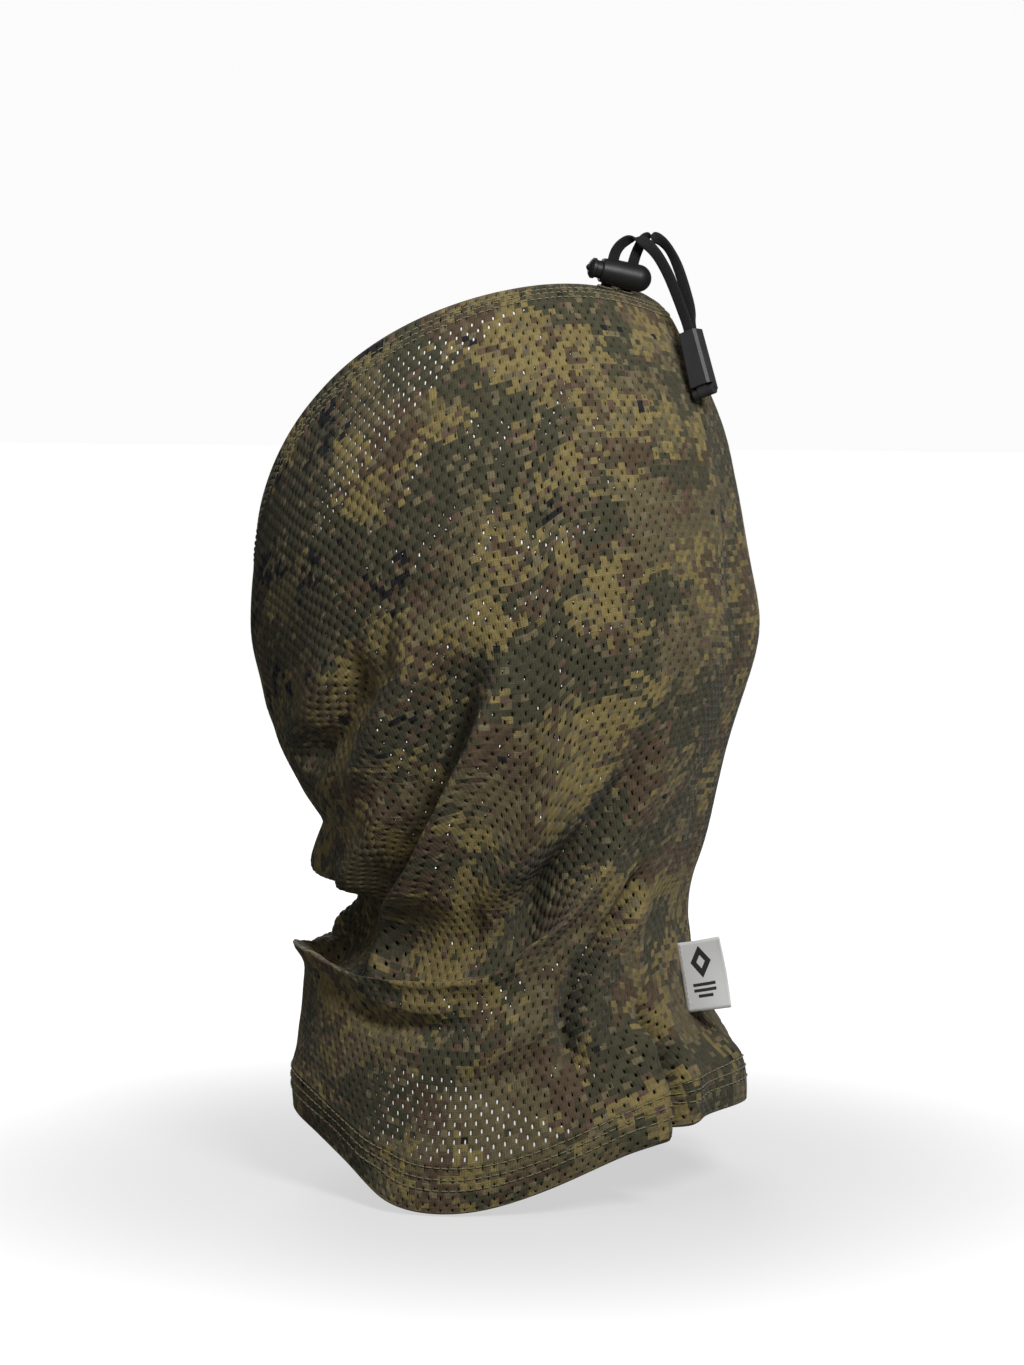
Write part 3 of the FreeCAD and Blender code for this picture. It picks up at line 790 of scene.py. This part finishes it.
def turned_edge(name, profile):
    """An inner layer with its turned edge; the profile is (row, mm outside, mm lifted)."""
    rows, outs, lifts = np.array(profile, float).T
    places = np.linspace(0, 1, 3 * COLS + 1)

    def point(a, k):
        k = np.round(k).astype(int)
        base = sewn(a, rows[k], outs[k])
        return base + np.array([0, 0, 1.0]) * (lifts[k] * MM)[:, None]

    points, faces, a, k = grid(places, np.arange(len(rows)), point)
    run = travelled(np.stack([rows * ROW, outs], -1))
    uv = np.stack([a * COLS * PITCH * MM + 0.9, run[np.round(k).astype(int)] * MM + 0.3], -1)
    return new_mesh(name, points, faces, uv, CAMO)


casing_inner = turned_edge("casing_inner", [
    (0.0, 0.85, 0.0), (0.0, 0.6, 0.35), (0.0, 0.1, 0.6), (0.0, -0.5, 0.6), (0.0, -1.0, 0.3),
    (0.15, -1.25, 0.0), (0.6, -1.6, 0), (1.2, -1.8, 0), (1.8, -1.6, 0), (2.4, -1.0, 0),
    (3.0, -0.5, 0), (3.6, -0.35, 0), (3.95, -0.3, 0)])
hem_inner = turned_edge("hem_inner", [
    (ROWS, 0.8, 0.0), (ROWS, 0.65, -0.35), (ROWS, 0.2, -0.6), (ROWS, -0.25, -0.6),
    (ROWS, -0.65, -0.35), (ROWS - 0.2, -0.75, 0), (ROWS - 1, -0.7, 0), (ROWS - 2, -0.65, 0),
    (ROWS - 3, -0.6, 0), (ROWS - 4, -0.55, 0), (ROWS - 5, -0.5, 0), (ROWS - 5.9, -0.4, 0)])


# ---------------------------------------------------------------- threads
def tube(path, radius, sides=6):
    """Points and faces of a closed tube along a path of points in metres."""
    path = np.asarray(path, float)
    tangents = unit(np.gradient(path, axis=0))
    lead = np.array([0.31, 0.67, 0.67])
    side = unit(np.cross(tangents, lead))
    top = np.cross(tangents, side)
    turn = np.linspace(0, 2 * pi, sides, endpoint=False)
    radius = np.broadcast_to(np.asarray(radius, float), len(path))
    rings = (path[:, None] + radius[:, None, None] * (np.cos(turn)[None, :, None] * side[:, None]
             + np.sin(turn)[None, :, None] * top[:, None])).reshape(-1, 3)
    return rings, skin(len(path), sides, sides)


def joined(parts):
    """Several (points, faces) as one."""
    points, faces, count = [], [], 0
    for p, f in parts:
        points.append(p)
        faces += [tuple(int(i) + count for i in face) for face in f]
        count += len(p)
    return np.concatenate(points), faces


STITCH = 3.0                # mm from stitch to stitch
THREAD_R = 0.27             # mm, half a thread's thickness


def stitch_rows(rows, layer):
    """Lock stitches in rows round a layer, each a short bowed length of thread."""
    count = int(COLS * PITCH / STITCH)
    bow = np.array([-0.28, 0.10, 0.26, 0.30, 0.26, 0.10, -0.28])
    thick = np.array([0.6, 0.95, 1.0, 1.0, 1.0, 0.95, 0.6]) * THREAD_R * MM
    parts = []
    for row in rows:
        out = float(layer(row)) + bow
        for n in range(count):
            a = (n + 0.5 + np.linspace(-0.43, 0.43, len(bow))) / count
            parts.append(tube(sewn(a, row, out), thick, 5))
    return parts


def thread_piece(name, parts, node_name, mat=THREAD):
    """All the threads of one row of sewing, which stand for a CAD piece."""
    points, faces = joined(parts)
    made = new_mesh(name, points, faces, None, mat)
    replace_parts(made, node_name)
    return made


casing_threads = thread_piece(
    "casing_stitches", stitch_rows([r / ROW for r in (7.2, 9.4, 11.6)], casing_out),
    "casing_stitching")
hem_threads = thread_piece(
    "hem_stitches", stitch_rows([ROWS - r / ROW for r in (18.6, 15.2, 11.4)], hem_out),
    "hem_stitching")


# ---------------------------------------------------------------- back seam
def seam_allowance():
    """Both edges turned to the inside and pressed flat."""
    rows = np.linspace(CASING_ROWS + 0.5, BODY_END - 0.5, 220)
    outs = np.array([-0.1, -0.5, -0.9, -1.25, -1.35, -1.1, -0.75, -0.45])
    offs = np.array([0.0, 0.5, 1.4, 2.6, 2.9, 2.6, 1.4, 0.3])

    def point(k, row):
        k = np.round(k).astype(int)
        return sewn(offs[k] / (COLS * PITCH), row, outs[k])

    points, faces, k, row = grid(np.arange(len(outs)), rows, point)
    uv = np.stack([k * 0.8 * MM + 2.1, row * ROW * MM], -1)
    return new_mesh("seam_allowance", points, faces, uv, CAMO)


def overcast():
    """The overlock's loops down the allowance, 2 mm from one to the next."""
    step = 2.0 / ROW
    offs = np.array([0.2, 1.6, 2.9, 3.1, 2.4, 1.0, 0.2])
    outs = np.array([-0.65, -1.2, -1.65, -1.3, -1.0, -0.9, -0.8])
    drift = np.linspace(0, step * 0.9, len(offs))
    return [tube(sewn(offs / (COLS * PITCH), row + drift, outs), THREAD_R * MM, 5)
            for row in np.arange(CASING_ROWS + 1, BODY_END - 1, step)]


allowance = seam_allowance()
seam_threads = thread_piece("seam_overcast", overcast(), "back_seam")


# ---------------------------------------------------------------- label
LABEL_ROOT = np.array([0.0880, -0.0043, -0.1818])
LABEL_OUT = np.array([0.9848, 0.0, 0.1736])
LABEL_UP = np.array([-0.1736, 0.0, 0.9848])
LABEL_SIDE = np.cross(LABEL_UP, LABEL_OUT)
LABEL_W, LABEL_H = 0.0200, 0.0310
LEAF_APART, LEAF_BOW = 0.0004, 0.0003       # each leaf from the middle, and its bow


def label_tab():
    """One strip folded once: near leaf, round fold, far leaf, with a slight curl."""
    flat_end = LABEL_W - 0.0004
    leaf = [(t * flat_end, LEAF_APART + LEAF_BOW * sin(pi * t), t * LABEL_W)
            for t in np.linspace(0, 1, 15)]
    fold = [(flat_end + 0.00045 * cos(t), 0.00045 * sin(t), LABEL_W)
            for t in np.radians(np.linspace(-70, 70, 7))]
    runs = np.array([(x, -y, place) for x, y, place in leaf] + fold + leaf[::-1])

    def point(k, h):
        run = runs[np.round(k).astype(int)]
        far = (run[:, 0] / LABEL_W) ** 2
        curl = 0.0016 * far * np.sin(pi * (h / LABEL_H + 0.1))
        edge = 0.0009 * np.sin(2.2 * h / LABEL_H) * far
        return (LABEL_ROOT + run[:, :1] * LABEL_OUT + (run[:, 1] + curl)[:, None] * LABEL_SIDE
                + (h - LABEL_H / 2 + edge)[:, None] * LABEL_UP)

    points, faces, k, h = grid(np.arange(len(runs)), np.linspace(0, LABEL_H, 21), point)
    uv = np.stack([runs[np.round(k).astype(int)][:, 2], h], -1)
    made = new_mesh("label_tab", points, faces, uv, LABEL)
    thick = made.modifiers.new("leaf", "SOLIDIFY")
    thick.thickness = 0.0003
    thick.offset = 0
    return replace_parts(made, "label")


def bartack():
    """Close stitches through the tab beside the seam, 13 on each leaf."""
    t = np.linspace(-1, 1, 5)
    parts = []
    for face in (-1, 1):
        for n in range(13):
            h = -LABEL_H / 2 + 0.0017 + n * 0.0023
            path = (LABEL_ROOT + LABEL_OUT * 0.0016 + np.outer(h + t * 0.0009, LABEL_UP)
                    + np.outer(face * (0.00062 + 0.00012 * (1 - t * t)), LABEL_SIDE))
            parts.append(tube(path, 0.00017, 5))
    return thread_piece("label_bartack_threads", parts, "label_bartack",
                        LABEL_THREAD)


tab = label_tab()
tack = bartack()


# ---------------------------------------------------------------- cords
LOCK_ALONG = np.array([0.812432, 0.542238, -0.214318])
LOCK_UP = np.array([0.294845, -0.064963, 0.953334])
LOCK_ACROSS = np.cross(LOCK_UP, LOCK_ALONG)
CLIP_X = np.array([0.92375, -0.20596, 0.32291])
CLIP_UP = np.array([-0.2950, 0.1551, 0.9428])
SEAT = np.array([0.05882, -0.01382, 0.12088])           # under the lock, between its two strands
KNOT_AT = np.array([0.0974105, -0.0140345, 0.0878279])
CORD_W, CORD_T = 0.0050, 0.0014


def spline(points, name):
    """Points read from one smooth NURBS spline through a route's control points."""
    curve = bpy.data.curves.new(name, "CURVE")
    curve.dimensions = "3D"
    curve.resolution_u = 16
    line = curve.splines.new("NURBS")
    line.points.add(len(points) - 1)
    for place, p in zip(line.points, points):
        place.co = (*p, 1.0)
    line.order_u = 3
    line.use_endpoint_u = True
    holder = linked(name, curve)
    mesh = bpy.data.meshes.new_from_object(holder)
    path = np.array([v.co[:] for v in mesh.vertices])
    bpy.data.objects.remove(holder)
    bpy.data.curves.remove(curve)
    bpy.data.meshes.remove(mesh)
    return path


def ribbon(path, wide_dirs, width, thick, corners=14):
    """A flat cord with round edges along a path; each point has its own broad direction."""
    tangents = unit(np.gradient(path, axis=0))
    wide = unit(wide_dirs - (wide_dirs * tangents).sum(1, keepdims=True) * tangents)
    flat = np.cross(tangents, wide)
    turn = np.linspace(0, 2 * pi, corners, endpoint=False)
    c, s = np.cos(turn), np.sin(turn)
    # each ring's first point is repeated so that the UV closes
    cx = np.sign(c) * np.abs(c) ** 0.55 * width / 2
    cy = np.sign(s) * np.abs(s) ** 0.75 * thick / 2
    cx, cy = np.append(cx, cx[0]), np.append(cy, cy[0])
    rings = path[:, None] + cx[None, :, None] * wide[:, None] + cy[None, :, None] * flat[:, None]
    girth = travelled(np.stack([cx, cy], -1))
    uv = np.stack(np.meshgrid(girth, travelled(path)), -1).reshape(-1, 2)
    return rings.reshape(-1, 3), skin(len(path), corners, corners + 1), uv


FRONT_ROUTE = [
    (0.05500, -0.01579, 0.11962), (0.05840, -0.01654, 0.13060), (0.06105, -0.01713, 0.13916),
    (0.06870, -0.01570, 0.14370), (0.07690, -0.01480, 0.13820), (0.08230, -0.01310, 0.12910),
    (0.08620, -0.01160, 0.11910), (0.08960, -0.01130, 0.11010), (0.09200, -0.01206, 0.10459),
    (0.09590, -0.01411, 0.09214)]
BACK_ROUTE = [
    (0.06232, -0.01091, 0.11769), (0.06567, -0.01165, 0.12855), (0.06836, -0.01225, 0.13723),
    (0.07120, -0.00760, 0.14460), (0.07860, -0.00600, 0.14180), (0.08420, -0.00620, 0.13350),
    (0.08860, -0.00760, 0.12240), (0.09250, -0.00900, 0.11090), (0.09239, -0.01052, 0.10445),
    (0.09629, -0.01257, 0.09200)]


def strand(name, route, twist, node_name):
    """A free strand from its buttonhole through the lock to the clip."""
    path = spline(route, name)
    run = travelled(path)
    share = run / run[-1]
    turn = smooth(share, 0.22, 0.85)[:, None]
    wide = unit(LOCK_ALONG * (1 - turn) + CLIP_X * turn)
    tangents = unit(np.gradient(path, axis=0))
    wide = unit(wide - (wide * tangents).sum(1, keepdims=True) * tangents)
    angle = (twist * np.exp(-((share - 0.42) / 0.14) ** 2))[:, None]
    wide = wide * np.cos(angle) + np.cross(tangents, wide) * np.sin(angle)
    points, faces, uv = ribbon(path, wide, CORD_W, CORD_T)
    made = new_mesh(name, points, faces, uv, BRAID)
    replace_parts(made, node_name)


def knot():
    """The two ends tied together, held in the clip's pocket."""
    side = -CLIP_X
    deep = np.cross(CLIP_UP, side)
    t = np.linspace(0, 2 * pi, 90)
    x = (np.sin(t) + 2 * np.sin(2 * t)) / 3
    y = -np.sin(3 * t)
    z = (np.cos(t) - 2 * np.cos(2 * t)) / 3
    path = (KNOT_AT + np.outer(x * 0.0016, side) + np.outer(y * 0.0008, deep)
            + np.outer(z * 0.0032, CLIP_UP))
    broad = np.broadcast_to(deep + 0.2 * side, path.shape)
    points, faces, uv = ribbon(path, broad, 0.0021, 0.0018, 12)
    made = new_mesh("knot", points, faces, uv, BRAID)
    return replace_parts(made, "cord_knot")


knot_piece = knot()
strand("strand_front", FRONT_ROUTE, 0.35,
       "cord_strand_front")
strand("strand_back", BACK_ROUTE, 0.95,
       "cord_strand_back")


def inner_drawcord():
    """The drawcord inside its casing, from one buttonhole round the front to the other."""
    u = np.linspace(-0.0736, 0.8989, 420)
    v = np.full(u.shape, 0.30)          # the middle of the casing's tunnel
    path = (cloth(u, v) + cloth_normal(u, v) * 0.15) * MM
    down = unit(cloth(u, v + 0.1) - cloth(u, v - 0.1))
    points, faces, uv = ribbon(path, down, CORD_W * 0.94, CORD_T, 12)
    made = new_mesh("drawcord_in_casing", points, faces, uv, BRAID)
    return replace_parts(made, "drawcord")


drawcord = inner_drawcord()


# ---------------------------------------------------------------- buttonholes
def buttonhole(name, at, node_name):
    """A ring of close stitches round the slit where a strand comes out."""
    centre = SEAT + LOCK_ALONG * at
    count = 34
    heights = (-0.0003, 0.00012, 0.00012, -0.0003)
    parts = []
    for n in range(count):
        t = 2 * pi * n / count
        inner = np.array([cos(t) * 0.0028, sin(t) * 0.0013])
        outer = np.array([cos(t) * 0.0040, sin(t) * 0.0024])
        places = [inner + (outer - inner) * share for share in (0, 0.3, 0.7, 1)]
        path = [centre + LOCK_ALONG * p[0] + LOCK_ACROSS * p[1] + LOCK_UP * h
                for p, h in zip(places, heights)]
        parts.append(tube(path, 0.00021, 5))
    return thread_piece(name, parts, node_name)


hole_front = buttonhole("buttonhole_front_stitches", -0.0039, "buttonhole_front")
hole_back = buttonhole("buttonhole_back_stitches", 0.0051, "buttonhole_back")


# ---------------------------------------------------------------- spring
COIL_START, COIL_LONG = 0.00905, 0.0026     # along the barrel, from the lock's centre
COIL_R, WIRE_R, COIL_TURNS = 0.0028, 0.0002, 2.5


def spring_coil():
    """The coil behind the plunger, made at its rest length; the real one shortens as the button is
    pressed.
    """
    centre = SEAT + LOCK_UP * 0.0068
    share = np.linspace(0, 1, 121)
    angle = 2 * pi * COIL_TURNS * share
    path = (centre + np.outer(COIL_START + COIL_LONG * share, LOCK_ALONG)
            + COIL_R * (np.outer(np.cos(angle), LOCK_UP) + np.outer(np.sin(angle), LOCK_ACROSS)))
    points, faces = tube(path, WIRE_R, 8)
    made = new_mesh("spring_coil", points, faces, material=STEEL, body="lock")
    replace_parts(made, "lock_spring")
    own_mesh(made)


spring_coil()

# ---------------------------------------------------------------- CAD pieces that show
for name, mat, slot in (("lock_barrel", LOCK_PLASTIC, "lock_plastic"),
                        ("lock_plunger", LOCK_PLASTIC, "lock_plastic"),
                        ("clip_base", CLIP_PLASTIC, "clip_plastic"),
                        ("clip_lid", CLIP_PLASTIC, "clip_plastic")):
    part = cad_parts[name]
    part.data.materials.clear()
    part.data.materials.append(mat)

# ---------------------------------------------------------------- what stands for what
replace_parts(near_half, "mesh_tube")
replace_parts(casing, "top_casing")
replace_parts(hem, "bottom_hem")


# ---------------------------------------------------------------- studio
def aim(obj, azimuth, elevation, distance):
    """Puts a light or the camera round the mask, turned to its middle."""
    way = Vector((sin(azimuth) * cos(elevation), -cos(azimuth) * cos(elevation), sin(elevation)))
    obj.location = TARGET + way * distance
    obj.rotation_euler = (-way).to_track_quat("-Z", "Y").to_euler()


def area_light(name, azimuth, elevation, distance, size, power):
    """A round soft light; the angles are in degrees."""
    light = bpy.data.lights.new(name, "AREA")
    light.shape = "DISK"
    light.size = size
    light.energy = power
    aim(linked(name, light), radians(azimuth), radians(elevation), distance)


area_light("key", 46, 35, 1.2, 0.45, 13.0)
area_light("fill", -28, 24, 1.9, 1.2, 3.4)
area_light("top", 0, 78, 1.4, 0.8, 2.4)
area_light("back", 212, 24, 1.9, 1.2, 12)

floor_mesh = bpy.data.meshes.new("floor")
FLOOR_HALF, FLOOR_Z = 12.0, -0.2757
floor_mesh.from_pydata([(x * FLOOR_HALF, y * FLOOR_HALF, FLOOR_Z)
                        for x, y in ((-1, -1), (1, -1), (1, 1), (-1, 1))], [], [(0, 1, 2, 3)])
floor = linked("floor", floor_mesh)
floor_mat, floor_tree, floor_shader = material("floor")
floor_shader.inputs["Base Color"].default_value = rgb(.17, .17, .17)
floor_shader.inputs["Roughness"].default_value = 0.8
floor_shader.inputs["Emission Color"].default_value = rgb(1, 1, 1)
# painted shadow: to the camera the floor glows, dimmer near the mask as a painted shadow pool under
# it, and it brightens away from the mask until it meets the backdrop
seen = floor_tree.nodes.new("ShaderNodeLightPath").outputs["Is Camera Ray"]
place = floor_tree.nodes.new("ShaderNodeNewGeometry").outputs["Position"]
reach = node(floor_tree, "ShaderNodeVectorMath", {0: place}, operation="LENGTH").outputs["Value"]
# painted shadow pool: the glow is 0.60 next to the mask and rises to 0.98 by 0.46 m out
painted_shadow_pool = node(floor_tree, "ShaderNodeMapRange", {0: reach, 1: 0.285, 2: 0.46, 3: 0.60, 4: 0.98},
            interpolation_type="SMOOTHSTEP").outputs[0]
floor_tree.links.new(times(floor_tree, seen, painted_shadow_pool), floor_shader.inputs["Emission Strength"])
floor_mesh.materials.append(floor_mat)

world = bpy.data.worlds.new("studio")
bpy.context.scene.world = world
world.use_nodes = True
sky = world.node_tree.nodes["Background"]
sky.inputs[0].default_value = rgb(1, 1, 1)
rays = world.node_tree.nodes.new("ShaderNodeLightPath")
strength = plus(world.node_tree, 0.07,
                times(world.node_tree, rays.outputs["Is Camera Ray"], 0.90))
world.node_tree.links.new(strength, sky.inputs[1])

bpy.context.scene.view_settings.view_transform = "Standard"
bpy.context.scene.view_settings.look = "None"

camera_data = bpy.data.cameras.new("camera")
camera = linked("camera", camera_data)
camera_data.lens = camera_data.sensor_width * DISTANCE / PICTURE_HIGH
camera_data.clip_end = 50
aim(camera, AZIMUTH, ELEVATION, DISTANCE)
bpy.context.scene.camera = camera
